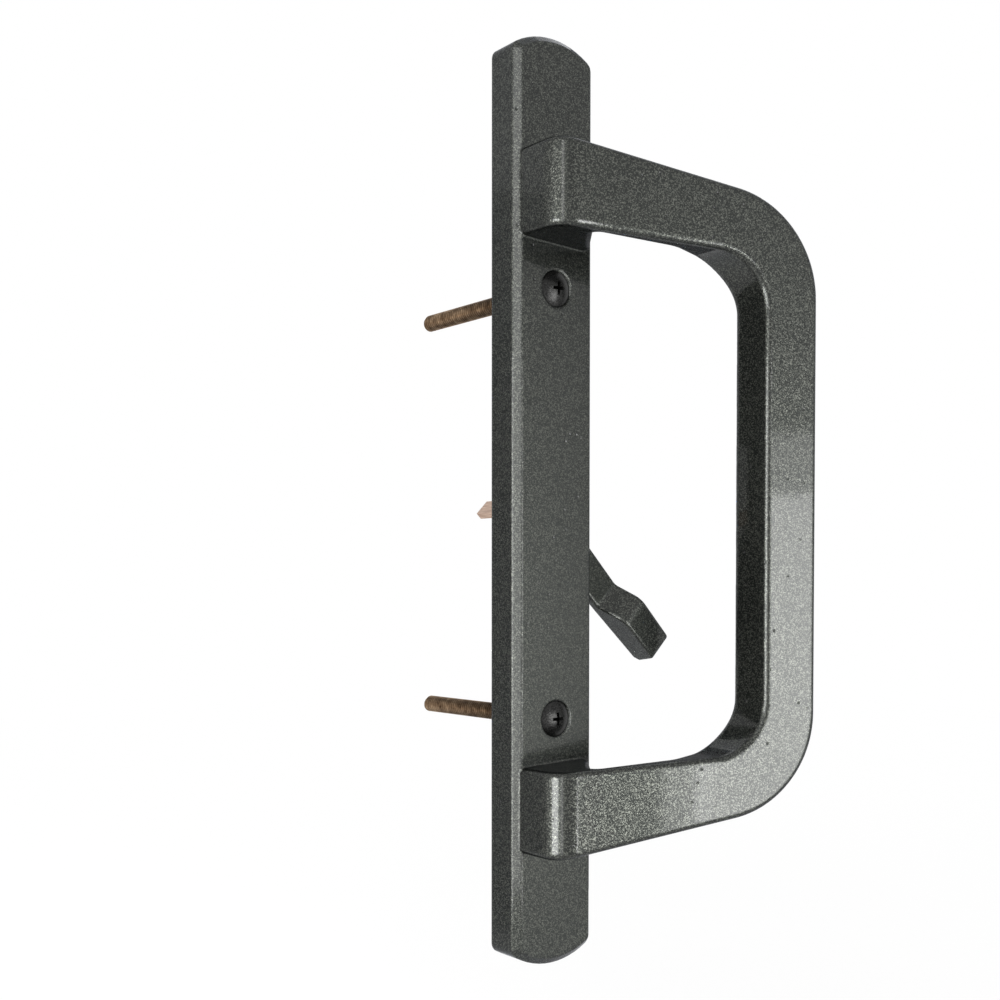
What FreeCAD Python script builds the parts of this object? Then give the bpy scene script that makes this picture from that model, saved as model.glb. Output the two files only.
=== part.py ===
"""Sliding patio door pull handle with its thumb latch lever, in millimetres.

+Z runs up the plate, +X to the side where the grip stands out, and -Y away from the door.
The door's surface is the plane Y = 0, and the origin is the middle of the plate's back.
"""
import FreeCAD
import Part
import Sketcher
import math
import os

from FreeCAD import Vector

SIZES = {
    # Plate: a hollow-backed strip with arched ends and a bevel all round its front
    "plate_length": 215.6,
    "plate_width": 23.8,
    "plate_thickness": 9.2,
    "plate_bevel": 1.65,
    "arch_radius": 21.0,
    "corner_radius": 2.5,
    "side_wall": 2.4,
    "front_web": 1.9,
    "rib_width": 1.6,
    "rib_first": 26.0,
    "rib_pitch": 33.0,
    "rib_drop": 0.6,
    # Grip from above: a foot rises from the face, and a band slants out to the bar. The band's
    # back climbs beside its front to a crest, then falls away where the band swells to the bar
    "foot_reach": 10.6,
    "foot_round": 6.5,
    "stalk_side": 10.2,
    "stalk_lean": 38.5,
    "notch_round": 1.2,
    "front_rise": 15.5,
    "bar_front": 36.5,
    "bar_depth": 11.8,
    "bar_back_rise": 26.0,
    "arm_depth": 3.4,
    "arm_back_rise": 10.5,
    "crest_place": 21.5,
    "crest_round": 10.0,
    "swell_fall": 14.0,
    "swell_round": 20.0,
    # Grip from the front: the D outline
    "foot_top": 79.1,
    "foot_bottom": 60.3,
    "outer_taper": 8.9,
    "inner_taper": 2.6,
    "bar_inner": 42.0,
    "bar_width": 13.8,
    "outer_corner": 24.7,
    "inner_corner": 13.2,
    "front_edge_round": 1.3,
    "back_edge_round": 1.8,
    # Cores that hollow the feet from behind
    "core_wall": 2.6,
    "core_depth": 16.0,
    "core_width": 10.0,
    # Screws and their holes
    "screw_spacing": 100.0,
    "screw_diameter": 4.17,
    "screw_length": 50.8,
    "screw_tip": 0.6,
    "head_diameter": 8.4,
    "head_angle": 82.0,
    "head_recess": 0.3,
    "head_dome": 1.2,
    "drive_span": 4.6,
    "drive_slot": 1.1,
    "drive_depth": 2.2,
    "hole_clearance": 0.37,
    "boss_diameter": 10.4,
    # Thumb latch lever, whose hub turns in a ring behind the plate
    "hub_diameter": 12.0,
    "hub_height": 6.8,
    "hub_clearance": 0.1,
    "ring_wall": 1.7,
    "door_gap": 0.2,
    "lever_clearance": 0.3,
    "lever_swing": 90.0,
    "lever_root": 3.3,
    "lever_root_reach": 9.4,
    "lever_width": 9.4,
    "lever_tip_width": 7.6,
    "arm_set": 0.7,
    "arm_reach": 30.2,
    "lever_reach": 49.7,
    "paddle_height": 9.1,
    "paddle_lean": 50.0,
    "paddle_chamfer": 1.2,
    "paddle_slant": 1.1,
    "paddle_shoulder": 4.5,
    "paddle_hollow": 1.6,
    "paddle_corner": 1.3,
    "lever_edge_round": 0.6,
    "hub_edge": 0.5,
    # Tailpiece, the flat bar pressed into the lever's hub
    "tail_thickness": 1.8,
    "tail_width": 4.4,
    "tail_reach": 19.3,
    "tail_seat": 3.0,
    "tail_tip_round": 0.6,
}

TRIM = 4.0        # how far cutting outlines run past the metal they cut
TOLERANCE = 1e-3  # distance within which a point is taken to lie on a profile

# The numbers by which constraints name a curve's points, and the sketch's own axes and origin
START, END, CENTRE = range(1, 4)
H_AXIS, V_AXIS = range(-1, -3, -1)
ORIGIN = (H_AXIS, START)

doc = FreeCAD.newDocument("patio_pull")
sheet = doc.addObject("Spreadsheet::Sheet", "Sizes")
for row, (alias, value) in enumerate(SIZES.items(), start=1):
    sheet.set("A%d" % row, alias)
    sheet.set("B%d" % row, str(value))
    sheet.setAlias("B%d" % row, alias)
doc.recompute()


def size(alias):
    """A driving size as it stands in the sheet."""
    return float(sheet.get(alias))


def sin(degrees):
    return math.sin(math.radians(degrees))


def cos(degrees):
    return math.cos(math.radians(degrees))


def tan(degrees):
    return math.tan(math.radians(degrees))


# Bodies, sketches and their constraints

def new_body(name):
    body = doc.addObject("PartDesign::Body", name)
    body.Label = name
    return body


def new_sketch(body, name, role, offset=None):
    """A sketch on one of the body's origin planes, moved along its normal by an expression."""
    sketch = body.newObject("Sketcher::SketchObject", name)
    plane = next(item for item in body.Origin.OriginFeatures if item.Role == role)
    sketch.AttachmentSupport = [(plane, "")]
    sketch.MapMode = "FlatFace"
    if offset:
        sketch.setExpression("AttachmentOffset.Base.z", offset)
    return sketch


def line(sketch, a, b):
    return sketch.addGeometry(Part.LineSegment(Vector(a[0], a[1], 0), Vector(b[0], b[1], 0)), False)


def arc(sketch, centre, radius, first, last):
    """A counter-clockwise arc between two angles in degrees."""
    circle = Part.Circle(Vector(centre[0], centre[1], 0), Vector(0, 0, 1), radius)
    return sketch.addGeometry(Part.ArcOfCircle(circle, math.radians(first), math.radians(last)), False)


def chain(sketch, curves, turned=(), tangent=()):
    """Join curves head to tail in a loop; turned arcs run backwards, tangent ones flow on."""
    for i, curve in enumerate(curves):
        after = curves[(i + 1) % len(curves)]
        end = START if curve in turned else END
        start = END if after in turned else START
        kind = "Tangent" if curve in tangent or after in tangent else "Coincident"
        sketch.addConstraint(Sketcher.Constraint(kind, curve, end, after, start))


def mark(sketch, kind, *curves):
    """An undimensioned constraint on each curve, such as Vertical."""
    for curve in curves:
        sketch.addConstraint(Sketcher.Constraint(kind, curve))


def fix(sketch, kind, args, value, expression):
    """A dimension bound to the sheet."""
    index = sketch.addConstraint(Sketcher.Constraint(kind, *args, value))
    sketch.setExpression("Constraints[%d]" % index, expression)


def turn(sketch, curve, degrees, expression):
    """The direction of a line, counted from the horizontal axis."""
    fix(sketch, "Angle", (curve,), math.radians(degrees), expression)


def place(sketch, curve, end, across=None, up=None):
    """Set how far a point lies from the origin; each way is a value and its expression.

    The expression gives the distance, and the value's sign tells the side.
    """
    for kind, way, axis in (("DistanceX", across, V_AXIS), ("DistanceY", up, H_AXIS)):
        if way is None:
            continue
        value, expression = way
        if not expression:
            sketch.addConstraint(Sketcher.Constraint("PointOnObject", curve, end, axis))
        elif value >= 0:
            fix(sketch, kind, (*ORIGIN, curve, end), value, expression)
        else:
            fix(sketch, kind, (curve, end, *ORIGIN), -value, expression)


def guide(sketch, on_lines, across, up):
    """A construction point that holds one or two lines at a set place."""
    point = sketch.addGeometry(Part.Point(Vector(across[0], up[0], 0)), True)
    for item in on_lines:
        sketch.addConstraint(Sketcher.Constraint("PointOnObject", point, START, item))
    place(sketch, point, START, across, up)


def circle(sketch, height, diameter, diameter_text, height_text=None):
    """A circle on the vertical axis."""
    ring = sketch.addGeometry(Part.Circle(Vector(0, height, 0), Vector(0, 0, 1), diameter / 2), False)
    place(sketch, ring, CENTRE, (0, None), (height, height_text))
    fix(sketch, "Diameter", (ring,), diameter, diameter_text)


def polygon(sketch, points):
    """A closed loop of straight lines."""
    sides = [line(sketch, points[i], points[(i + 1) % len(points)]) for i in range(len(points))]
    chain(sketch, sides)
    return sides


def rectangle(sketch, left, right, low, high):
    """An upright rectangle whose sides are each a signed value and its distance expression."""
    sides = polygon(sketch, [(left[0], low[0]), (right[0], low[0]), (right[0], high[0]), (left[0], high[0])])
    mark(sketch, "Horizontal", sides[0], sides[2])
    mark(sketch, "Vertical", sides[1], sides[3])
    place(sketch, sides[0], START, left, low)
    place(sketch, sides[2], START, right, high)


# Features

def pad(body, name, sketch, length, symmetric=False, back=False):
    feature = body.newObject("PartDesign::Pad", name)
    feature.Profile = sketch
    feature.Reversed = back
    if symmetric:
        feature.SideType = "Symmetric"
    feature.setExpression("Length", length)
    return feature


def pocket(body, name, sketch, depth, forward=True):
    """A pocket cut forward from the door's side, or backward from the front."""
    feature = body.newObject("PartDesign::Pocket", name)
    feature.Profile = sketch
    feature.Reversed = forward
    feature.setExpression("Length", depth)
    return feature


def combine(body, name, tool, kind):
    feature = body.newObject("PartDesign::Boolean", name)
    feature.Type = kind
    feature.setObjects([tool])
    return feature


def edges_where(shape, test):
    """Names of the edges whose ends and middle all pass a test."""
    names = []
    for i, edge in enumerate(shape.Edges, start=1):
        middle = edge.valueAt((edge.FirstParameter + edge.LastParameter) / 2)
        if all(test(point) for point in [vertex.Point for vertex in edge.Vertexes] + [middle]):
            names.append("Edge%d" % i)
    return names


def dress(body, kind, name, base, test, expression):
    """A fillet or chamfer on the edges of a feature that pass a test."""
    doc.recompute()
    feature = body.newObject("PartDesign::" + kind, name)
    feature.Base = (base, edges_where(base.Shape, test))
    feature.setExpression("Radius" if kind == "Fillet" else "Size", expression)
    doc.recompute()
    return feature


# Plate

def arched_outline(sketch, inset=None):
    """Two straight sides and two arched ends, at the plate's edge or a wall's width inside it."""
    gap = size(inset) if inset else 0.0
    less = " - Sizes." + inset if inset else ""
    half = size("plate_width") / 2 - gap
    radius = size("arch_radius") - gap
    centre = size("plate_length") / 2 - size("arch_radius")
    corner = centre + math.sqrt(radius ** 2 - half ** 2)
    lean = math.degrees(math.acos(half / radius))
    right = line(sketch, (half, -corner), (half, corner))
    top = arc(sketch, (0, centre), radius, lean, 180 - lean)
    left = line(sketch, (-half, corner), (-half, -corner))
    low = arc(sketch, (0, -centre), radius, 180 + lean, 360 - lean)
    chain(sketch, [right, top, left, low])
    mark(sketch, "Vertical", right, left)
    sketch.addConstraint(Sketcher.Constraint("Equal", top, low))
    fix(sketch, "Radius", (top,), radius, "Sizes.arch_radius" + less)
    place(sketch, right, END, (half, "Sizes.plate_width / 2" + less))
    place(sketch, left, START, (-half, "Sizes.plate_width / 2" + less))
    up = "Sizes.plate_length / 2 - Sizes.arch_radius"
    place(sketch, top, CENTRE, (0, None), (centre, up))
    place(sketch, low, CENTRE, (0, None), (-centre, up))


def build_plate(body):
    """The strip, its rounded corners and the bevel round its front."""
    outline = new_sketch(body, "plate_outline", "XZ_Plane")
    arched_outline(outline)
    strip = pad(body, "plate_strip", outline, "Sizes.plate_thickness")
    half, thickness = size("plate_width") / 2, size("plate_thickness")
    centre = size("plate_length") / 2 - size("arch_radius")
    corner = centre + math.sqrt(size("arch_radius") ** 2 - half ** 2)
    at_corner = lambda p: abs(abs(p.x) - half) < TOLERANCE and abs(abs(p.z) - corner) < TOLERANCE
    rounded = dress(body, "Fillet", "plate_corners", strip, at_corner, "Sizes.corner_radius")
    at_front = lambda p: abs(p.y + thickness) < TOLERANCE
    dress(body, "Chamfer", "plate_bevel", rounded, at_front, "Sizes.plate_bevel")


def hollow_plate(body):
    """The hollow back with its screw bosses, ribs and the ring that carries the lever."""
    depth = "Sizes.plate_thickness - Sizes.front_web"
    inside = new_sketch(body, "hollow_outline", "XZ_Plane")
    arched_outline(inside, "side_wall")
    pocket(body, "hollow", inside, depth)

    bosses = new_sketch(body, "boss_circles", "XZ_Plane")
    for side in (1, -1):
        circle(bosses, side * size("screw_spacing") / 2, size("boss_diameter"), "Sizes.boss_diameter",
               "Sizes.screw_spacing / 2")
    pad(body, "screw_bosses", bosses, depth)

    ribs = new_sketch(body, "rib_strips", "XZ_Plane", "Sizes.rib_drop")
    half = size("plate_width") / 2 - size("side_wall") / 2
    half_text = "Sizes.plate_width / 2 - Sizes.side_wall / 2"
    for step in range(3):
        middle = size("rib_first") + step * size("rib_pitch")
        text = "Sizes.rib_first + %d * Sizes.rib_pitch" % step
        near = (middle - size("rib_width") / 2, text + " - Sizes.rib_width / 2")
        far = (middle + size("rib_width") / 2, text + " + Sizes.rib_width / 2")
        rectangle(ribs, (-half, half_text), (half, half_text), near, far)
        rectangle(ribs, (-half, half_text), (half, half_text), (-far[0], far[1]), (-near[0], near[1]))
    pad(body, "ribs", ribs, depth + " - Sizes.rib_drop")

    start = "Sizes.door_gap + Sizes.lever_root + Sizes.lever_clearance"
    ring = new_sketch(body, "ring_circles", "XZ_Plane", start)
    bore = size("hub_diameter") + 2 * size("hub_clearance")
    bore_text = "Sizes.hub_diameter + 2 * Sizes.hub_clearance"
    circle(ring, 0, bore, bore_text)
    circle(ring, 0, bore + 2 * size("ring_wall"), bore_text + " + 2 * Sizes.ring_wall")
    pad(body, "hub_ring", ring, "%s - (%s)" % (depth, start))


def core_feet(body):
    """Cores that hollow the two feet from behind the plate."""
    cores = new_sketch(body, "core_outlines", "XZ_Plane")
    left = size("core_wall") - size("foot_reach")
    right = left + size("core_width")
    sides = ((left, "Sizes.foot_reach - Sizes.core_wall"),
             (right, "Sizes.core_width + Sizes.core_wall - Sizes.foot_reach"))
    near = (size("foot_bottom") + size("core_wall"), "Sizes.foot_bottom + Sizes.core_wall")
    far = (size("foot_top") - size("core_wall"), "Sizes.foot_top - Sizes.core_wall")
    rectangle(cores, *sides, near, far)
    rectangle(cores, *sides, (-far[0], far[1]), (-near[0], near[1]))
    pocket(body, "foot_cores", cores, "Sizes.core_depth")


def cut_lever_slot(body):
    """The slot in the plate's side wall in which the lever swings, and whose ends stop it."""
    slot = new_sketch(body, "slot_outline", "XZ_Plane")
    half_swing = size("lever_swing") / 2
    edge = size("plate_width") / 2
    reach = edge * tan(half_swing) + size("lever_width") / 2 / cos(half_swing) + size("lever_clearance")
    text = ("Sizes.plate_width / 2 * tan(Sizes.lever_swing / 2)"
            " + Sizes.lever_width / 2 / cos(Sizes.lever_swing / 2) + Sizes.lever_clearance")
    rectangle(slot, (edge - size("side_wall") - 1, "Sizes.plate_width / 2 - Sizes.side_wall - 1"),
              (edge + 1, "Sizes.plate_width / 2 + 1"), (-reach, text), (reach, text))
    pocket(body, "lever_slot", slot, "Sizes.door_gap + Sizes.lever_root + Sizes.lever_clearance")


def drill_screw_holes(body):
    """Countersunk holes in which the screw heads seat."""
    centres = new_sketch(body, "hole_centres", "XZ_Plane", "Sizes.plate_thickness")
    for side in (1, -1):
        circle(centres, side * size("screw_spacing") / 2, size("screw_diameter"), "Sizes.screw_diameter",
               "Sizes.screw_spacing / 2")
    doc.recompute()
    holes = body.newObject("PartDesign::Hole", "screw_holes")
    holes.Profile = centres
    holes.DepthType = "ThroughAll"
    holes.setExpression("Diameter", "Sizes.screw_diameter + 2 * Sizes.hole_clearance")
    holes.HoleCutType = "Countersink"
    holes.HoleCutCustomValues = True
    holes.setExpression("HoleCutCountersinkAngle", "Sizes.head_angle")
    holes.setExpression("HoleCutDiameter",
                        "Sizes.head_diameter + 2 * Sizes.head_recess * tan(Sizes.head_angle / 2)")


# Grip

def rounded_corner(vertex, first, second, radius):
    """Where a round between two rays from a corner touches them, its centre and its two angles."""
    rays = [Vector(cos(angle), sin(angle), 0) for angle in (first, second)]
    half = math.degrees(rays[0].getAngle(rays[1])) / 2
    corner = Vector(vertex[0], vertex[1], 0)
    touches = [corner + ray * (radius / tan(half)) for ray in rays]
    centre = corner + (rays[0] + rays[1]).normalize() * (radius / sin(half))
    angles = [math.degrees(math.atan2(p.y - centre.y, p.x - centre.x)) for p in touches]
    return touches, centre, angles


def arc_between(sketch, centre, radius, angles):
    """The shorter arc between two angles, and whether it runs from the second to the first."""
    first, last = angles
    span = (last - first) % 360
    if span <= 180:
        return arc(sketch, centre, radius, first, first + span), False
    return arc(sketch, centre, radius, last, last + 360 - span), True


def plan_profile(sketch):
    """The grip from above. Returns the curves that make its front and those that make its back."""
    left = -size("foot_reach")
    base = -(size("plate_thickness") - size("front_web") / 2)
    inner, end = size("bar_inner"), size("bar_inner") + size("bar_width") + TRIM
    rise, bar_rise, arm_rise = size("front_rise"), size("bar_back_rise"), size("arm_back_rise")
    lean, fall, face = size("stalk_lean"), size("swell_fall"), -size("plate_thickness")
    back = size("bar_depth") - size("bar_front")

    # Shoulder between the foot's wall and the slanting front
    radius = size("foot_round")
    middle_x = left + radius
    middle_y = -(size("bar_front") + (middle_x - inner) * tan(rise)) + radius / cos(rise)
    leave = (middle_x - radius * sin(rise), middle_y - radius * cos(rise))
    front_end = -(size("bar_front") + (end - inner) * tan(rise))
    wall = line(sketch, (left, base), (left, middle_y))
    shoulder = arc(sketch, (middle_x, middle_y), radius, 180, 270 - rise)
    front = line(sketch, leave, (end, front_end))

    # Back of the bar, the swell behind it and the crest on the arm's back
    root = size("bar_front") - inner * tan(rise) - size("arm_depth")
    crest_at = (size("crest_place"), -(root + size("crest_place") * tan(arm_rise)))
    swell_x = (back - crest_at[1] + inner * tan(bar_rise) + crest_at[0] * tan(fall)) / (
        tan(bar_rise) + tan(fall))
    swell_at = (swell_x, back + (inner - swell_x) * tan(bar_rise))
    swell_touch, centre, angles = rounded_corner(swell_at, -bar_rise, 180 + fall, size("swell_round"))
    far_back = back - (end - inner) * tan(bar_rise)
    side = line(sketch, (end, front_end), (end, far_back))
    bar_back = line(sketch, (end, far_back), swell_touch[0])
    swell, swell_turned = arc_between(sketch, centre, size("swell_round"), angles)
    crest_touch, centre, angles = rounded_corner(crest_at, fall, 180 - arm_rise, size("crest_round"))
    ramp = line(sketch, swell_touch[1], crest_touch[0])
    crest, crest_turned = arc_between(sketch, centre, size("crest_round"), angles)

    # Notch where the arm's back meets the leaning stalk
    stalk_x = size("stalk_side")
    drop = (-root - stalk_x * tan(arm_rise) - face) / (cos(lean) + sin(lean) * tan(arm_rise))
    notch_at = (stalk_x + drop * sin(lean), face + drop * cos(lean))
    notch_touch, centre, angles = rounded_corner(notch_at, -arm_rise, 90 - lean, size("notch_round"))
    arm_back = line(sketch, crest_touch[1], notch_touch[0])
    notch, notch_turned = arc_between(sketch, centre, size("notch_round"), angles)
    stalk = line(sketch, notch_touch[1], (stalk_x, face))
    seat = line(sketch, (stalk_x, face), (stalk_x, base))
    bottom = line(sketch, (stalk_x, base), (left, base))

    bends = {swell: swell_turned, crest: crest_turned, notch: notch_turned}
    turned = [curve for curve, is_turned in bends.items() if is_turned]
    back_curves = [bar_back, swell, ramp, crest, arm_back, notch, stalk]
    chain(sketch, [wall, shoulder, front, side] + back_curves + [seat, bottom],
          turned, (shoulder, swell, crest, notch))
    mark(sketch, "Vertical", wall, side, seat)
    mark(sketch, "Horizontal", bottom)
    base_text = "Sizes.plate_thickness - Sizes.front_web / 2"
    place(sketch, wall, START, (left, "Sizes.foot_reach"), (base, base_text))
    fix(sketch, "Radius", (shoulder,), radius, "Sizes.foot_round")
    turn(sketch, front, -rise, "-Sizes.front_rise")
    guide(sketch, [front], (inner, "Sizes.bar_inner"), (-size("bar_front"), "Sizes.bar_front"))
    place(sketch, side, START, (end, "Sizes.bar_inner + Sizes.bar_width + %g" % TRIM))
    turn(sketch, bar_back, 180 - bar_rise, "180 - Sizes.bar_back_rise")
    guide(sketch, [bar_back], (inner, "Sizes.bar_inner"), (back, "Sizes.bar_front - Sizes.bar_depth"))
    fix(sketch, "Radius", (swell,), size("swell_round"), "Sizes.swell_round")
    root_text = "Sizes.bar_front - Sizes.bar_inner * tan(Sizes.front_rise) - Sizes.arm_depth"
    crest_text = root_text + " + Sizes.crest_place * tan(Sizes.arm_back_rise)"
    turn(sketch, ramp, fall - 180, "Sizes.swell_fall - 180")
    guide(sketch, [ramp], (crest_at[0], "Sizes.crest_place"), (crest_at[1], crest_text))
    fix(sketch, "Radius", (crest,), size("crest_round"), "Sizes.crest_round")
    turn(sketch, arm_back, 180 - arm_rise, "180 - Sizes.arm_back_rise")
    guide(sketch, [arm_back], (0, None), (-root, root_text))
    fix(sketch, "Radius", (notch,), size("notch_round"), "Sizes.notch_round")
    turn(sketch, stalk, 90 - lean, "90 - Sizes.stalk_lean")
    place(sketch, seat, START, (stalk_x, "Sizes.stalk_side"), (face, "Sizes.plate_thickness"))
    return [wall, shoulder, front], back_curves


def outline_profile(sketch):
    """The upper half of the D outline from the front. Returns the curves on its two rims."""
    left = -(size("foot_reach") + TRIM)
    inner, outer = size("bar_inner"), size("bar_inner") + size("bar_width")
    wide, narrow = size("outer_corner"), size("inner_corner")
    fall, dip = size("outer_taper"), size("inner_taper")
    top = lambda x: size("foot_top") - x * tan(fall)
    low = lambda x: size("foot_bottom") - x * tan(dip)
    wide_at = (outer - wide, top(outer - wide) - wide / cos(fall))
    narrow_at = (inner - narrow, low(inner - narrow) - narrow / cos(dip))

    upper = line(sketch, (left, top(left)), (wide_at[0] + wide * sin(fall), wide_at[1] + wide * cos(fall)))
    corner = arc(sketch, wide_at, wide, 0, 90 - fall)
    outside = line(sketch, (outer, wide_at[1]), (outer, 0))
    middle = line(sketch, (outer, 0), (inner, 0))
    inside = line(sketch, (inner, 0), (inner, narrow_at[1]))
    hollow = arc(sketch, narrow_at, narrow, 0, 90 - dip)
    lower = line(sketch, (narrow_at[0] + narrow * sin(dip), narrow_at[1] + narrow * cos(dip)), (left, low(left)))
    end = line(sketch, (left, low(left)), (left, top(left)))
    chain(sketch, [upper, corner, outside, middle, inside, hollow, lower, end], (corner,), (corner, hollow))
    mark(sketch, "Vertical", outside, inside, end)
    turn(sketch, upper, -fall, "-Sizes.outer_taper")
    turn(sketch, lower, 180 - dip, "180 - Sizes.inner_taper")
    place(sketch, middle, START, (outer, "Sizes.bar_inner + Sizes.bar_width"), (0, None))
    place(sketch, middle, END, (inner, "Sizes.bar_inner"), (0, None))
    fix(sketch, "Radius", (corner,), wide, "Sizes.outer_corner")
    fix(sketch, "Radius", (hollow,), narrow, "Sizes.inner_corner")
    place(sketch, end, START, (left, "Sizes.foot_reach + %g" % TRIM))
    guide(sketch, [upper], (0, None), (size("foot_top"), "Sizes.foot_top"))
    guide(sketch, [lower], (0, None), (size("foot_bottom"), "Sizes.foot_bottom"))
    return [upper, corner, outside, inside, hollow, lower]


def on_curves(sketch, curves, x, y):
    """Whether a point given in the sketch's plane lies on one of its curves."""
    vertex = Part.Vertex(x, y, 0)
    return any(vertex.distToShape(sketch.Geometry[i].toShape())[0] < TOLERANCE for i in curves)


def build_grip():
    """The grip: what the profile from above and the outline from the front have in common."""
    band = new_body("grip_band")
    plan = new_sketch(band, "plan_outline", "XY_Plane")
    front_curves, back_curves = plan_profile(plan)
    pad(band, "band", plan, "2 * (Sizes.foot_top + Sizes.foot_reach)", symmetric=True)

    grip = new_body("grip")
    outline = new_sketch(grip, "d_outline", "XZ_Plane")
    rims = outline_profile(outline)
    half = pad(grip, "d_half", outline,
               "Sizes.bar_front + Sizes.bar_width * tan(Sizes.front_rise) + %g" % TRIM)
    mirrored = grip.newObject("PartDesign::Mirrored", "d_whole")
    mirrored.Originals = [half]
    mirrored.MirrorPlane = (next(o for o in grip.Origin.OriginFeatures if o.Role == "XY_Plane"), [""])
    grip.Tip = mirrored
    doc.recompute()
    shape = combine(grip, "d_slice", band, "Common")
    on_rim = lambda p: on_curves(outline, rims, p.x, abs(p.z))
    at_front = lambda p: on_rim(p) and on_curves(plan, front_curves, p.x, p.y)
    at_back = lambda p: on_rim(p) and on_curves(plan, back_curves, p.x, p.y)
    eased = dress(grip, "Fillet", "front_rims", shape, at_front, "Sizes.front_edge_round")
    dress(grip, "Fillet", "back_rims", eased, at_back, "Sizes.back_edge_round")
    return grip


def build_pull():
    body = new_body("pull")
    build_plate(body)
    combine(body, "grip_joined", build_grip(), "Fuse")
    hollow_plate(body)
    core_feet(body)
    cut_lever_slot(body)
    drill_screw_holes(body)
    return body


# Screws

def screw_profile(sketch):
    """Half of the screw about its axis, from the dome over the head to the tip."""
    head, shank = size("head_diameter") / 2, size("screw_diameter") / 2
    cone, dome = size("head_angle") / 2, size("head_dome")
    neck = (head - shank) / tan(cone)
    length, tip = size("screw_length"), size("screw_tip")
    radius = (head ** 2 + dome ** 2) / (2 * dome)
    spread = math.degrees(math.asin(head / radius))
    axis = line(sketch, (0, length), (0, -dome))
    crown = arc(sketch, (0, radius - dome), radius, 270, 270 + spread)
    under = line(sketch, (head, 0), (shank, neck))
    side = line(sketch, (shank, neck), (shank, length - tip))
    chamfer = line(sketch, (shank, length - tip), (shank - tip, length))
    end = line(sketch, (shank - tip, length), (0, length))
    chain(sketch, [axis, crown, under, side, chamfer, end])
    mark(sketch, "Vertical", side)
    mark(sketch, "Horizontal", end)
    place(sketch, axis, START, (0, None), (length, "Sizes.screw_length"))
    place(sketch, axis, END, (0, None), (-dome, "Sizes.head_dome"))
    place(sketch, crown, CENTRE, (0, None))
    place(sketch, under, START, (head, "Sizes.head_diameter / 2"), (0, None))
    place(sketch, side, START, (shank, "Sizes.screw_diameter / 2"))
    turn(sketch, under, 90 + cone, "90 + Sizes.head_angle / 2")
    place(sketch, side, END, None, (length - tip, "Sizes.screw_length - Sizes.screw_tip"))
    place(sketch, chamfer, END, (shank - tip, "Sizes.screw_diameter / 2 - Sizes.screw_tip"))


def build_screw(name, side):
    """An oval-head screw, seated in its countersink a little below the plate's face."""
    body = new_body(name)
    profile = new_sketch(body, name + "_profile", "XY_Plane")
    screw_profile(profile)
    turned = body.newObject("PartDesign::Revolution", name + "_turned")
    turned.Profile = profile
    turned.ReferenceAxis = (profile, ["V_Axis"])
    turned.Angle = 360
    doc.recompute()
    bar = new_sketch(body, name + "_drive_bar", "XZ_Plane", "Sizes.head_dome")
    half, thin = size("drive_span") / 2, size("drive_slot") / 2
    rectangle(bar, (-half, "Sizes.drive_span / 2"), (half, "Sizes.drive_span / 2"),
              (-thin, "Sizes.drive_slot / 2"), (thin, "Sizes.drive_slot / 2"))
    slot = pocket(body, name + "_drive_slot", bar, "Sizes.drive_depth", forward=False)
    cross = body.newObject("PartDesign::PolarPattern", name + "_drive_cross")
    cross.Originals = [slot]
    cross.Axis = (bar, ["N_Axis"])
    cross.Angle = 90
    cross.Occurrences = 2
    body.Tip = cross
    body.setExpression("Placement.Base.y", "-(Sizes.plate_thickness - Sizes.head_recess)")
    body.setExpression("Placement.Base.z", "%d * Sizes.screw_spacing / 2" % side)
    return body


# Lever and tailpiece

def lever_side_profile(sketch):
    """The arm and paddle from the side, hanging down: across is +Y and up is +Z."""
    rear = size("door_gap")
    front = rear + size("lever_root")
    set_in = rear + size("arm_set")
    root, arm, tip = size("lever_root_reach"), size("arm_reach"), size("lever_reach")
    top = rear + size("paddle_height")
    chamfer, slant = size("paddle_chamfer"), size("paddle_slant")
    run = (top - front) / tan(size("paddle_lean"))
    heights = [(rear, 0), (rear, root), (set_in, root + size("arm_set")), (set_in, arm),
               (set_in + chamfer, tip - chamfer), (front, tip), (top, tip - slant), (top, arm + run),
               (front, arm), (front, 0)]
    sides = polygon(sketch, [(-depth, -reach) for depth, reach in heights])
    mark(sketch, "Vertical", sides[0], sides[2], sides[6], sides[8])
    mark(sketch, "Horizontal", sides[9])
    rear_text = "Sizes.door_gap"
    front_text = "Sizes.door_gap + Sizes.lever_root"
    set_text = "Sizes.door_gap + Sizes.arm_set"
    place(sketch, sides[0], START, (-rear, rear_text), (0, None))
    place(sketch, sides[1], START, None, (-root, "Sizes.lever_root_reach"))
    place(sketch, sides[2], START, (-set_in, set_text), (-(root + size("arm_set")),
                                                         "Sizes.lever_root_reach + Sizes.arm_set"))
    place(sketch, sides[3], START, None, (-arm, "Sizes.arm_reach"))
    place(sketch, sides[4], START, (-(set_in + chamfer), set_text + " + Sizes.paddle_chamfer"),
          (chamfer - tip, "Sizes.lever_reach - Sizes.paddle_chamfer"))
    place(sketch, sides[5], START, (-front, front_text), (-tip, "Sizes.lever_reach"))
    place(sketch, sides[6], START, (-top, "Sizes.door_gap + Sizes.paddle_height"),
          (slant - tip, "Sizes.lever_reach - Sizes.paddle_slant"))
    place(sketch, sides[8], START, (-front, front_text), (-arm, "Sizes.arm_reach"))
    run_text = "(Sizes.paddle_height - Sizes.lever_root) / tan(Sizes.paddle_lean)"
    place(sketch, sides[7], START, None, (-(arm + run), "Sizes.arm_reach + " + run_text))


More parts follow.
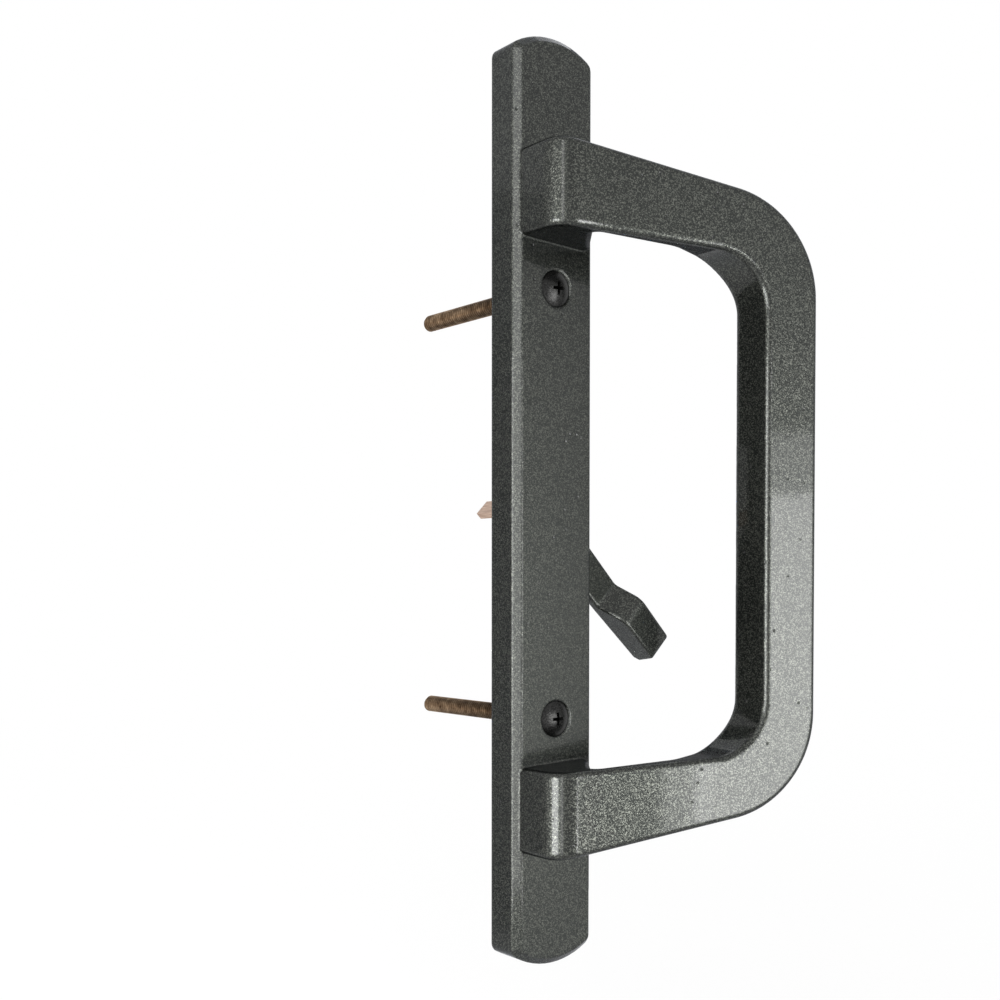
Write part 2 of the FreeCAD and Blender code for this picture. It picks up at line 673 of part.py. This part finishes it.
def build_lever():
    """The lever hanging straight down about the Y axis, then turned to its lower stop."""
    flank = new_body("lever_flank")
    side = new_sketch(flank, "lever_side", "YZ_Plane")
    lever_side_profile(side)
    pad(flank, "lever_side_pad", side, "2 * Sizes.lever_width", symmetric=True)

    body = new_body("thumb_lever")
    plan = new_sketch(body, "lever_plan", "XZ_Plane")
    wide, slim, tip = size("lever_width") / 2, size("lever_tip_width") / 2, size("lever_reach")
    sides = polygon(plan, [(-slim, -tip), (slim, -tip), (wide, 0), (-wide, 0)])
    mark(plan, "Horizontal", sides[0], sides[2])
    place(plan, sides[0], START, (-slim, "Sizes.lever_tip_width / 2"), (-tip, "Sizes.lever_reach"))
    place(plan, sides[0], END, (slim, "Sizes.lever_tip_width / 2"))
    place(plan, sides[2], START, (wide, "Sizes.lever_width / 2"), (0, None))
    place(plan, sides[2], END, (-wide, "Sizes.lever_width / 2"))
    pad(body, "lever_plan_pad", plan, "Sizes.paddle_height + %g" % TRIM)
    doc.recompute()
    blade = combine(body, "lever_blade", flank, "Common")

    front = size("door_gap") + size("lever_root")
    top = size("door_gap") + size("paddle_height")
    run = (top - front) / tan(size("paddle_lean"))
    edge_at = lambda depth, reach: (
        lambda p: abs(p.y + depth) < TOLERANCE and abs(p.z + reach) < TOLERANCE)
    hollow = dress(body, "Fillet", "paddle_hollow", blade, edge_at(front, size("arm_reach")),
                   "Sizes.paddle_hollow")
    shoulder = dress(body, "Fillet", "paddle_shoulder", hollow, edge_at(top, size("arm_reach") + run),
                     "Sizes.paddle_shoulder")
    corner = dress(body, "Fillet", "paddle_corner", shoulder,
                   edge_at(top, size("lever_reach") - size("paddle_slant")), "Sizes.paddle_corner")
    paddle_edge = lambda p: p.z < -size("lever_root_reach") - size("arm_set") - TOLERANCE and abs(
        abs(p.x) - (wide + (slim - wide) * -p.z / tip)) < TOLERANCE
    dress(body, "Fillet", "lever_edges", corner, paddle_edge, "Sizes.lever_edge_round")

    hub = new_sketch(body, "hub_circle", "XZ_Plane", "Sizes.door_gap")
    circle(hub, 0, size("hub_diameter"), "Sizes.hub_diameter")
    boss = pad(body, "hub", hub, "Sizes.hub_height")
    face = size("door_gap") + size("hub_height")
    dress(body, "Chamfer", "hub_edge", boss, lambda p: abs(p.y + face) < TOLERANCE, "Sizes.hub_edge")
    seat = new_sketch(body, "tail_seat", "XZ_Plane")
    tail_rectangle(seat)
    pocket(body, "tail_slot", seat, "Sizes.door_gap + Sizes.tail_seat")
    return body


def tail_rectangle(sketch):
    """The tailpiece's section."""
    wide, thin = size("tail_width") / 2, size("tail_thickness") / 2
    rectangle(sketch, (-wide, "Sizes.tail_width / 2"), (wide, "Sizes.tail_width / 2"),
              (-thin, "Sizes.tail_thickness / 2"), (thin, "Sizes.tail_thickness / 2"))


def build_tailpiece():
    """The flat bar that turns the lock, seated in the lever's hub."""
    body = new_body("tailpiece")
    section = new_sketch(body, "tail_section", "XZ_Plane", "Sizes.door_gap + Sizes.tail_seat")
    tail_rectangle(section)
    bar = pad(body, "tail_bar", section, "Sizes.tail_seat + Sizes.tail_reach", back=True)
    tip = size("tail_reach") - size("door_gap")
    dress(body, "Fillet", "tail_tip", bar, lambda p: abs(p.y - tip) < TOLERANCE, "Sizes.tail_tip_round")
    return body


def turn_to_stop(body):
    """Turn a piece about the Y axis so that the lever rests on its lower stop."""
    body.Placement = FreeCAD.Placement(Vector(), FreeCAD.Rotation(Vector(0, 1, 0), -45))
    body.setExpression("Placement.Rotation.Angle", "Sizes.lever_swing / 2")
    body.Placement.Rotation.Axis = Vector(0, -1, 0)


pieces = [build_pull(), build_screw("upper_screw", 1), build_screw("lower_screw", -1)]
turning = [build_lever(), build_tailpiece()]
for piece in turning:
    turn_to_stop(piece)
pieces += turning
doc.recompute()

for item in doc.Objects:
    if "Invalid" in item.State or "Error" in item.State:
        raise RuntimeError("%s did not build" % item.Label)
os.makedirs("parts", exist_ok=True)
for piece in pieces:
    shape = piece.Shape
    if shape.isNull() or not shape.isValid() or len(shape.Solids) != 1:
        raise RuntimeError("%s is not one valid solid" % piece.Label)
    box = shape.BoundBox
    print("%s volume %.1f box %.2f..%.2f %.2f..%.2f %.2f..%.2f" % (
        piece.Label, shape.Volume, box.XMin, box.XMax, box.YMin, box.YMax, box.ZMin, box.ZMax))
    shape.exportStep("parts/%s.step" % piece.Label)
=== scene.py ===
"""Sliding patio door pull handle: dark metallic powder coat, black-headed screws, copper-toned bar."""
import math

import bpy
from mathutils import Matrix, Vector


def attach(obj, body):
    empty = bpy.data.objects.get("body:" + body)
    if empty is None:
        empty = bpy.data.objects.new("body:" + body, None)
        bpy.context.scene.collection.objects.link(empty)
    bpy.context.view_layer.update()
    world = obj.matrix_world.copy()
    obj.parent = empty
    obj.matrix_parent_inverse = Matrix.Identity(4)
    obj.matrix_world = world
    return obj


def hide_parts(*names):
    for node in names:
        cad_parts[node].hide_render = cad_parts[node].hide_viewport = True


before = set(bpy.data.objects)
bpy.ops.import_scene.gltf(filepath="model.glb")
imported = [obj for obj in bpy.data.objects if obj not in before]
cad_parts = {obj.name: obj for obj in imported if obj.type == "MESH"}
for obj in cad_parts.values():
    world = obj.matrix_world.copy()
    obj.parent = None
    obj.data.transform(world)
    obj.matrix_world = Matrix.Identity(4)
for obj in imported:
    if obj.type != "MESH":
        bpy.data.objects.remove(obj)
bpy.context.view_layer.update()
MM = 0.001


# Screw sizes

# Number 8-32 machine screws with an oval head and a cross recess, threaded all along
SCREW_HEIGHT = 50 * MM    # each stands this far above or below the plate's middle
PITCH = 25.4 / 32 * MM
MAJOR = 2.08 * MM         # the thread's radius over its crests
MINOR = 1.62 * MM         # and at its roots
HEAD = 4.2 * MM           # radius of the head's rim
DOME = 1.2 * MM           # how far the crown rises over the rim
RIM = -8.9 * MM           # the rim's place along Y; the plate's face is at -9.2 mm
NECK = -6.45 * MM         # where the head's cone ends and the thread begins
TIP = 41.9 * MM           # the thread's end, behind the door's face


def linear(hex_colour):
    """An sRGB hex colour as linear RGBA."""
    parts = [int(hex_colour[i:i + 2], 16) / 255 for i in (0, 2, 4)]
    return [c / 12.92 if c <= 0.04045 else ((c + 0.055) / 1.055) ** 2.4 for c in parts] + [1.0]


# Materials

def new_material(name):
    """A material, its node tree and its principled surface."""
    material = bpy.data.materials.new(name)
    material.use_nodes = True
    tree = material.node_tree
    return material, tree, tree.nodes["Principled BSDF"]


def fill(tree, made, inputs):
    """Links a node's sockets to the sockets given for them, or sets them to the values given.

    An input goes by its socket's name, or by its number where a node has several of one name.
    """
    for name, source in inputs.items():
        if isinstance(source, bpy.types.NodeSocket):
            tree.links.new(source, made.inputs[name])
        else:
            made.inputs[name].default_value = source


def node(tree, kind, settings=None, inputs=None):
    """Adds a node with its settings, links and values."""
    made = tree.nodes.new(kind)
    for name, value in (settings or {}).items():
        setattr(made, name, value)
    fill(tree, made, inputs or {})
    return made


def powder_coat():
    """Metallic powder coat on die-cast zinc: charcoal resin with aluminium flake, cured glossy.

    The eye gets a sandy grain of flakes that lie a little askew and glint one by one, under a clear
    skin that mirrors lamps sharply but dimly, with a faint orange peel and here and there a pinhole.
    """
    material, tree, surface = new_material("powder_coated_zinc")
    place = node(tree, "ShaderNodeTexCoord").outputs["Object"]
    # Real flakes are under a tenth of a millimetre; drawn coarser, so that the grain shows
    flakes = node(tree, "ShaderNodeTexVoronoi", {"feature": "F1"},
                  {"Vector": place, "Scale": 1 / (0.22 * MM)}).outputs["Color"]
    # Each flake's own colour turns its normal a few degrees to one side
    centred = node(tree, "ShaderNodeVectorMath", {"operation": "SUBTRACT"},
                   {0: flakes, 1: (0.5, 0.5, 0.5)})
    tipped = node(tree, "ShaderNodeVectorMath", {"operation": "SCALE"},
                  {0: centred.outputs[0], "Scale": 0.15})
    # Paint leaves every edge three quarters of a millimetre round
    rounded = node(tree, "ShaderNodeBevel", {"samples": 6}, {"Radius": 0.75 * MM}).outputs["Normal"]
    joined = node(tree, "ShaderNodeVectorMath", {"operation": "ADD"},
                  {0: rounded, 1: tipped.outputs[0]})
    askew = node(tree, "ShaderNodeVectorMath", {"operation": "NORMALIZE"}, {0: joined.outputs[0]})
    # Half of the flakes are dark, and the others range up to a middle grey
    chance = node(tree, "ShaderNodeSeparateColor", {}, {"Color": flakes})
    tone = node(tree, "ShaderNodeValToRGB", {}, {"Fac": chance.outputs["Red"]})
    dark, light = tone.color_ramp.elements
    dark.position, dark.color = 0.52, linear("262826")
    light.position, light.color = 1.0, linear("5B5D57")
    # Pinholes from points 4 mm apart, drawn large enough to show: up to 0.44 mm in radius, which is
    # 0.11 of that distance, and 0.13 mm deep
    pits = node(tree, "ShaderNodeTexVoronoi", {"feature": "F1"},
                {"Vector": place, "Scale": 1 / (4.0 * MM)})
    pit = node(tree, "ShaderNodeMapRange", {"clamp": True},
               {"Value": pits.outputs["Distance"], "From Min": 0.0, "From Max": 0.11})
    # Inside each pinhole the colour turns near black: painted shade of the hole's inside, not a colour of
    # the coat
    pinhole_shaded_tone = node(tree, "ShaderNodeMix", {"data_type": "RGBA"},
                  {0: pit.outputs["Result"], 6: linear("161716"), 7: tone.outputs["Color"]})
    # Orange peel, in waves of 0.9 mm
    peel = node(tree, "ShaderNodeTexNoise", {}, {"Vector": place, "Scale": 1 / (0.9 * MM), "Detail": 2.0})
    orange = node(tree, "ShaderNodeBump", {},
                  {"Height": peel.outputs["Fac"], "Normal": rounded, "Strength": 0.5,
                   "Distance": 0.012 * MM})
    skin = node(tree, "ShaderNodeBump", {},
                {"Height": pit.outputs["Result"], "Normal": orange.outputs["Normal"],
                 "Distance": 0.13 * MM})
    fill(tree, surface, {
        "Base Color": pinhole_shaded_tone.outputs[2],
        "Metallic": 1.0,
        "Roughness": 0.36,
        "Normal": askew.outputs[0],
        "Specular Tint": linear("9298A4"),
        "Coat Weight": 0.5,
        "Coat Roughness": 0.055,
        "Coat Normal": skin.outputs["Normal"],
    })
    return material


def black_head():
    """Black electroplated steel: smooth and dark, with a soft grain from plating."""
    material, tree, surface = new_material("black_plated_steel")
    place = node(tree, "ShaderNodeTexCoord").outputs["Object"]
    # Grain of a third of a millimetre
    grain = node(tree, "ShaderNodeTexNoise", {},
                 {"Vector": place, "Scale": 1 / (0.35 * MM), "Detail": 4.0}).outputs["Fac"]
    tone = node(tree, "ShaderNodeValToRGB", {}, {"Fac": grain})
    dark, light = tone.color_ramp.elements
    dark.position, dark.color = 0.3, linear("1B1B1B")
    light.position, light.color = 0.75, linear("393938")
    rough = node(tree, "ShaderNodeMapRange", {},
                 {"Value": grain, "From Min": 0.3, "From Max": 0.7, "To Min": 0.22, "To Max": 0.36})
    bump = node(tree, "ShaderNodeBump", {}, {"Height": grain, "Strength": 0.3, "Distance": 0.01 * MM})
    fill(tree, surface, {
        "Base Color": tone.outputs["Color"],
        "Metallic": 0.9,
        "Roughness": rough.outputs["Result"],
        "Normal": bump.outputs["Normal"],
    })
    return material


def yellow_plate():
    """Yellow-chromated zinc on steel: a dull bronze tone, with a painted highlight on the thread's crests
    and painted shade in its roots.
    """
    material, tree, surface = new_material("yellow_zinc_plated_steel")
    place = node(tree, "ShaderNodeTexCoord").outputs["Object"]
    # The chromate's film varies every 2 mm or so
    film = node(tree, "ShaderNodeTexNoise", {},
                {"Vector": place, "Scale": 1 / (2.2 * MM), "Detail": 5.0, "Roughness": 0.7})
    tone = node(tree, "ShaderNodeValToRGB", {}, {"Fac": film.outputs["Fac"]})
    dark, light = tone.color_ramp.elements
    dark.position, dark.color = 0.3, linear("3E2F22")
    light.position, light.color = 0.75, linear("9C866C")
    tone.color_ramp.elements.new(0.52).color = linear("6E5B48")
    # The distance from the nearer screw's axis tells the thread's crests from its roots: the crests get a
    # painted highlight and the roots painted shade
    parts = node(tree, "ShaderNodeSeparateXYZ", {}, {"Vector": place})
    height = node(tree, "ShaderNodeMath", {"operation": "ABSOLUTE"}, {0: parts.outputs["Z"]})
    off_axis = node(tree, "ShaderNodeMath", {"operation": "SUBTRACT"},
                    {0: height.outputs[0], 1: SCREW_HEIGHT})
    across = node(tree, "ShaderNodeCombineXYZ", {},
                  {"X": parts.outputs["X"], "Y": off_axis.outputs[0]})
    radius = node(tree, "ShaderNodeVectorMath", {"operation": "LENGTH"}, {0: across.outputs[0]})
    crest_highlight_root_shade = node(tree, "ShaderNodeMapRange", {},
                 {"Value": radius.outputs["Value"], "From Min": MINOR + 0.04 * MM,
                  "From Max": MAJOR - 0.04 * MM, "To Min": 0.12, "To Max": 1.6})
    # The film's tone scaled by that painted crest highlight and root shade
    thread_light_and_shade = node(tree, "ShaderNodeVectorMath", {"operation": "SCALE"},
                  {0: tone.outputs["Color"], "Scale": crest_highlight_root_shade.outputs["Result"]})
    # A fine grain of 0.2 mm
    grain = node(tree, "ShaderNodeTexNoise", {},
                 {"Vector": place, "Scale": 1 / (0.2 * MM), "Detail": 3.0})
    bump = node(tree, "ShaderNodeBump", {},
                {"Height": grain.outputs["Fac"], "Strength": 0.4, "Distance": 0.008 * MM})
    fill(tree, surface, {
        "Base Color": thread_light_and_shade.outputs[0],
        "Metallic": 1.0,
        "Roughness": 0.32,
        "Normal": bump.outputs["Normal"],
    })
    return material


def copper_plate():
    """Copper-washed steel bar: a pale rose beige, with fine drawing marks along its length."""
    material, tree, surface = new_material("copper_plated_steel")
    place = node(tree, "ShaderNodeTexCoord").outputs["Object"]
    # The bar runs along Y, so the marks are 4 mm long in Y and a fifth of a millimetre wide; its
    # width lies at 45 degrees in XZ
    drawn = node(tree, "ShaderNodeMapping", {},
                 {"Vector": place, "Rotation": (0, math.radians(45), 0), "Scale": (9.0, 0.5, 9.0)})
    streak = node(tree, "ShaderNodeTexNoise", {},
                  {"Vector": drawn.outputs[0], "Scale": 1 / (2.0 * MM), "Detail": 4.0}).outputs["Fac"]
    tone = node(tree, "ShaderNodeValToRGB", {}, {"Fac": streak})
    dark, light = tone.color_ramp.elements
    dark.position, dark.color = 0.3, linear("967B6A")
    light.position, light.color = 0.72, linear("CDB3A0")
    bump = node(tree, "ShaderNodeBump", {}, {"Height": streak, "Strength": 0.3, "Distance": 0.01 * MM})
    fill(tree, surface, {
        "Base Color": tone.outputs["Color"],
        "Metallic": 1.0,
        "Roughness": 0.3,
        "Normal": bump.outputs["Normal"],
    })
    return material


def dress(name, material):
    """Gives a CAD node one material."""
    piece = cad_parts[name]
    piece.data.materials.clear()
    piece.data.materials.append(material)


COAT = powder_coat()
BLACK = black_head()
YELLOW = yellow_plate()
dress("pull", COAT)
dress("thumb_lever", COAT)
dress("tailpiece", copper_plate())


# Screws

HEAD_SIDES = 64
THREAD_SIDES = 28
# The rim's three rings, across and along from its sharp edge, and the crown's, in degrees from the
# rim to the middle
RIM_RINGS = ((-0.12 * MM, 0.13 * MM), (0, 0.03 * MM), (-0.04 * MM, -0.03 * MM))
CROWN_ANGLES = (20, 35, 50, 64, 76, 84)
# The cutter of a recess's wing: its length, height and thickness, half the height going into the
# head, and the share of each that is left at its bottom
WING = (4.5 * MM, 4.6 * MM, 0.95 * MM)
WING_BOTTOM = (0.42, 1, 0.6)
# The tooth's outline, as radii and shares of the pitch
TOOTH = [(MINOR, 0.0), (MINOR, 0.12), (MAJOR, 0.48), (MAJOR, 0.64), (MINOR, 1.0)]
# Edges that turn by more than this stay creased
HEAD_CREASE = math.radians(35)
THREAD_CREASE = math.radians(30)
# Points nearer than this become one
WELD = 0.0005 * MM


def finish_piece(piece, name, material, node_name):
    """Names a new piece, settles its normals, gives it its material, hangs it on the handle's body and
    hides the CAD node that it stands for.
    """
    piece.name = name
    piece.data.name = name
    bpy.ops.object.mode_set(mode="EDIT")
    bpy.ops.mesh.select_all(action="SELECT")
    bpy.ops.mesh.remove_doubles(threshold=WELD)
    bpy.ops.mesh.normals_make_consistent(inside=False)
    bpy.ops.object.mode_set(mode="OBJECT")
    piece.data.materials.append(material)
    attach(piece, "handle")
    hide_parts(node_name)


def cross_cutter(turned, height):
    """The cutter of one wing of the cross recess: a box narrowed towards its bottom."""
    middle = (0, RIM - DOME, height)
    bpy.ops.mesh.primitive_cube_add(size=1, location=middle, rotation=(0, turned, 0))
    cutter = bpy.context.object
    bpy.ops.object.mode_set(mode="EDIT")
    bpy.ops.transform.resize(value=WING, orient_type="LOCAL", center_override=middle)
    bpy.ops.mesh.select_all(action="DESELECT")
    bpy.ops.object.mode_set(mode="OBJECT")
    # The end that goes into the head is the one to narrow
    for vertex in cutter.data.vertices:
        vertex.select = vertex.co.y > 0
    bpy.ops.object.mode_set(mode="EDIT")
    bpy.ops.transform.resize(value=WING_BOTTOM, orient_type="LOCAL")
    bpy.ops.object.mode_set(mode="OBJECT")
    return cutter


def ring_out(steps):
    """Extrudes the selected ring again and again, each time along Y and to a new radius."""
    radius, height = steps[0]
    for next_radius, next_height in steps[1:]:
        bpy.ops.mesh.extrude_region_move(TRANSFORM_OT_translate={"value": (0, next_height - height, 0)})
        bpy.ops.transform.resize(value=(next_radius / radius, 1, next_radius / radius))
        radius, height = next_radius, next_height


def screw_head(name, node_name, height):
    """The oval head: a cone, a small rounded rim and a domed crown with the cross cut into it."""
    bpy.ops.mesh.primitive_circle_add(vertices=HEAD_SIDES, radius=MINOR, fill_type="NGON",
                                      location=(0, NECK, height), rotation=(math.radians(90), 0, 0))
    piece = bpy.context.object
    bpy.ops.object.transform_apply(location=True, rotation=True)
    ball = (HEAD ** 2 + DOME ** 2) / (2 * DOME)
    radii = [HEAD * math.cos(math.radians(angle)) for angle in CROWN_ANGLES]
    crown = [(r, RIM - (math.sqrt(ball ** 2 - r ** 2) - (ball - DOME))) for r in radii]
    rim = [(HEAD + across, RIM + along) for across, along in RIM_RINGS]
    bpy.ops.object.mode_set(mode="EDIT")
    bpy.ops.mesh.select_all(action="SELECT")
    # Each ring is resized about its own middle
    bpy.context.scene.tool_settings.transform_pivot_point = "MEDIAN_POINT"
    ring_out([(MINOR, NECK), (MAJOR, NECK)] + rim + crown)
    bpy.ops.object.mode_set(mode="OBJECT")
    cutters = [cross_cutter(0, height), cross_cutter(math.radians(90), height)]
    bpy.ops.object.select_all(action="DESELECT")
    bpy.context.view_layer.objects.active = piece
    piece.select_set(True)
    for cutter in cutters:
        cut = piece.modifiers.new("recess", "BOOLEAN")
        cut.operation, cut.object, cut.solver = "DIFFERENCE", cutter, "EXACT"
        bpy.ops.object.modifier_apply(modifier="recess")
        bpy.data.objects.remove(cutter)
    bpy.ops.object.shade_smooth_by_angle(angle=HEAD_CREASE)
    finish_piece(piece, name, BLACK, node_name)


def screw_thread(name, node_name, height):
    """The thread: one tooth turned along a helix by a screw modifier, then cut square at both ends."""
    # The helix starts two turns early and ends late, so that both cuts go through whole turns
    start = NECK - 2 * PITCH
    turns = int((TIP - NECK) / PITCH) + 4
    # A plane merged to one point, which is then drawn out along the tooth's outline
    bpy.ops.mesh.primitive_plane_add(size=1, location=(0, 0, 0))
    piece = bpy.context.object
    bpy.ops.object.mode_set(mode="EDIT")
    bpy.ops.mesh.select_all(action="SELECT")
    bpy.ops.mesh.delete(type="EDGE_FACE")
    bpy.ops.mesh.select_all(action="SELECT")
    bpy.ops.mesh.merge(type="CENTER")
    bpy.ops.transform.translate(value=(TOOTH[0][0], start, 0))
    for (radius, along), (next_radius, next_along) in zip(TOOTH, TOOTH[1:]):
        bpy.ops.mesh.extrude_region_move(TRANSFORM_OT_translate={
            "value": (next_radius - radius, (next_along - along) * PITCH, 0)})
    bpy.ops.object.mode_set(mode="OBJECT")
    twist = piece.modifiers.new("helix", "SCREW")
    twist.axis, twist.screw_offset, twist.iterations = "Y", PITCH, turns
    twist.steps = twist.render_steps = THREAD_SIDES
    twist.use_merge_vertices, twist.merge_threshold = True, 0.001 * MM
    bpy.ops.object.modifier_apply(modifier="helix")
    bpy.ops.object.mode_set(mode="EDIT")
    # The tip is cut a hundredth of a millimetre short, to stay inside the solid, and the fine
    # threshold leaves no point standing just past a cut
    for cut, side in ((NECK, 1), (TIP - 0.01 * MM, -1)):
        bpy.ops.mesh.select_all(action="SELECT")
        bpy.ops.mesh.bisect(plane_co=(0, cut, 0), plane_no=(0, side, 0), use_fill=True, clear_inner=True,
                            threshold=0.0001 * MM)
    bpy.ops.mesh.select_all(action="SELECT")
    bpy.ops.transform.translate(value=(0, 0, height))
    bpy.ops.object.mode_set(mode="OBJECT")
    bpy.ops.object.shade_smooth_by_angle(angle=THREAD_CREASE)
    finish_piece(piece, name, YELLOW, node_name)


for screw, height in (("upper_screw", SCREW_HEIGHT), ("lower_screw", -SCREW_HEIGHT)):
    screw_head(screw + "_head", screw, height)
    screw_thread(screw + "_thread", screw, height)


# Stage

FLOOR = -0.45             # the floor's height in metres
FLOOR_SIZE = 8            # and its sides
FLOOR_GLOW = 0.75         # share of the floor's white that is shown, not lit
BOARD_DISTANCE = 0.8      # metres from the handle's middle


def add_floor():
    """A pale plane far below the handle."""
    bpy.ops.mesh.primitive_plane_add(size=FLOOR_SIZE, location=(0, 0, FLOOR))
    piece = bpy.context.object
    piece.name = "pale_floor"
    material, tree, surface = new_material("pale_floor")
    fill(tree, surface, {"Base Color": linear("FFFFFF"), "Roughness": 0.9, "Specular IOR Level": 0.1})
    # The camera and mirroring metal see most of the white directly, and the rest carries the shadow
    rays = node(tree, "ShaderNodeLightPath")
    seen = node(tree, "ShaderNodeMath", {"operation": "MAXIMUM"},
                {0: rays.outputs["Is Camera Ray"], 1: rays.outputs["Is Glossy Ray"]})
    shown = node(tree, "ShaderNodeMath", {"operation": "MAXIMUM"},
                 {0: seen.outputs[0], 1: rays.outputs["Is Transmission Ray"]})
    share = node(tree, "ShaderNodeMath", {"operation": "MULTIPLY"},
                 {0: shown.outputs[0], 1: FLOOR_GLOW})
    white = node(tree, "ShaderNodeEmission", {}, {"Color": (1, 1, 1, 1), "Strength": 1.0})
    floor = node(tree, "ShaderNodeMixShader", {},
                 {0: share.outputs[0], 1: surface.outputs[0], 2: white.outputs[0]})
    fill(tree, tree.nodes["Material Output"], {"Surface": floor.outputs[0]})
    piece.data.materials.append(material)


def add_world():
    """A plain white studio, as bright in a reflection as to the camera."""
    world = bpy.data.worlds.new("studio")
    bpy.context.scene.world = world
    world.use_nodes = True
    fill(world.node_tree, world.node_tree.nodes["Background"], {"Color": (1, 1, 1, 1), "Strength": 1.0})


def add_board(name, aim, size, grey):
    """A matt board that the camera doesn't see and the coat mirrors, so that one side goes darker."""
    direction = Vector(aim).normalized()
    bpy.ops.mesh.primitive_plane_add(size=1, location=direction * BOARD_DISTANCE)
    piece = bpy.context.object
    piece.name = name
    piece.rotation_euler = (-direction).to_track_quat("Z", "Y").to_euler()
    piece.scale = (*size, 1)
    material, tree, surface = new_material(name)
    fill(tree, surface, {"Base Color": linear(grey), "Roughness": 1.0})
    piece.data.materials.append(material)
    piece.visible_camera = False


def add_lamp(name, aim, distance, size, radiance):
    """A rectangular lamp that stands in a direction from the handle's middle and faces it.

    Radiance is what a mirror would show of it, and 1 is white.
    """
    data = bpy.data.lights.new(name, "AREA")
    data.shape = "RECTANGLE"
    data.size, data.size_y = size
    data.energy = radiance * math.pi * size[0] * size[1]
    piece = bpy.data.objects.new(name, data)
    bpy.context.scene.collection.objects.link(piece)
    direction = Vector(aim).normalized()
    piece.location = direction * distance
    piece.rotation_euler = (-direction).to_track_quat("-Z", "Y").to_euler()


add_floor()
add_world()
# One board greys the plate's left side, the other the undersides and rims that face away to the right
add_board("left_board", (-0.66, 0.75, 0.0), (0.5, 0.62), "A8A8A8")
add_board("right_board", (0.788, 0.616, 0.19), (0.72, 0.9), "6A6A6A")
# A large card low at the front right greys the lower half of the bar and the lower arm
add_lamp("front_card", (0.395, -0.90, -0.153), 0.65, (0.15, 0.29), 9.9)
# Its dimmer left and upper edges, so that the grey fades in along the arm and down the bar
add_lamp("card_edge", (0.262, -0.90, -0.153), 0.65, (0.03, 0.29), 4.6)
add_lamp("card_top", (0.395, -0.90, 0.094), 0.65, (0.15, 0.045), 3.2)
# A tall soft light beside the camera runs along the plate's bevel
add_lamp("bevel_light", (-0.77, -0.64, 0.2), 0.9, (0.16, 1.0), 3.5)
# A broad light on the left streaks the lower foot's round shoulder and the bar's inner edge
add_lamp("left_light", (-0.974, -0.225, -0.07), 0.8, (0.36, 0.46), 13.5)
# A narrow strip at the front draws a second thin line along those edges
add_lamp("front_strip", (0.14, -0.98, -0.07), 0.8, (0.026, 0.46), 26.0)
# A light high behind catches the bevel of the plate's arched top
add_lamp("top_light", (0.594, 0.40, 0.693), 1.0, (0.7, 0.7), 0.8)


# Camera

IMAGE = 1000              # pixels across and down
SENSOR = 36.0             # millimetres across
VIEW_TURN = 36.952        # degrees that the camera stands to the left of straight in front
VIEW_TILT = 1.471         # degrees that it looks down
VIEW_DISTANCE = 312.634 * MM
PIXELS_PER_MM = 4.192     # at the origin's depth
PRINCIPAL = (473.6, 620.026)    # the pixel that the camera's axis meets
ORIGIN_RIGHT = 13.727     # millimetres from that axis across to the origin
ORIGIN_BELOW = 1.557      # millimetres from the picture's middle row down to the origin


def add_camera():
    """The photograph's camera, fitted to the plate's and grip's outlines."""
    turn, tilt = math.radians(VIEW_TURN), math.radians(VIEW_TILT)
    right = Vector((math.cos(turn), -math.sin(turn), 0))
    ahead = Vector((math.sin(turn), math.cos(turn), 0))
    up = Vector((0, 0, math.cos(tilt))) + ahead * math.sin(tilt)
    back = Vector((0, 0, math.sin(tilt))) - ahead * math.cos(tilt)
    above = (PRINCIPAL[1] - IMAGE / 2) / PIXELS_PER_MM - ORIGIN_BELOW
    data = bpy.data.cameras.new("view")
    data.sensor_width = SENSOR
    data.lens = PIXELS_PER_MM * VIEW_DISTANCE / MM / IMAGE * SENSOR
    data.shift_x = (IMAGE / 2 - PRINCIPAL[0]) / IMAGE
    data.shift_y = (PRINCIPAL[1] - IMAGE / 2) / IMAGE
    data.clip_start = 0.01
    piece = bpy.data.objects.new("view", data)
    bpy.context.scene.collection.objects.link(piece)
    piece.matrix_world = Matrix((right, up, back)).transposed().to_4x4()
    piece.location = back * VIEW_DISTANCE - (right * ORIGIN_RIGHT + up * above) * MM
    bpy.context.scene.camera = piece


add_camera()
bpy.context.scene.view_settings.view_transform = "Standard"
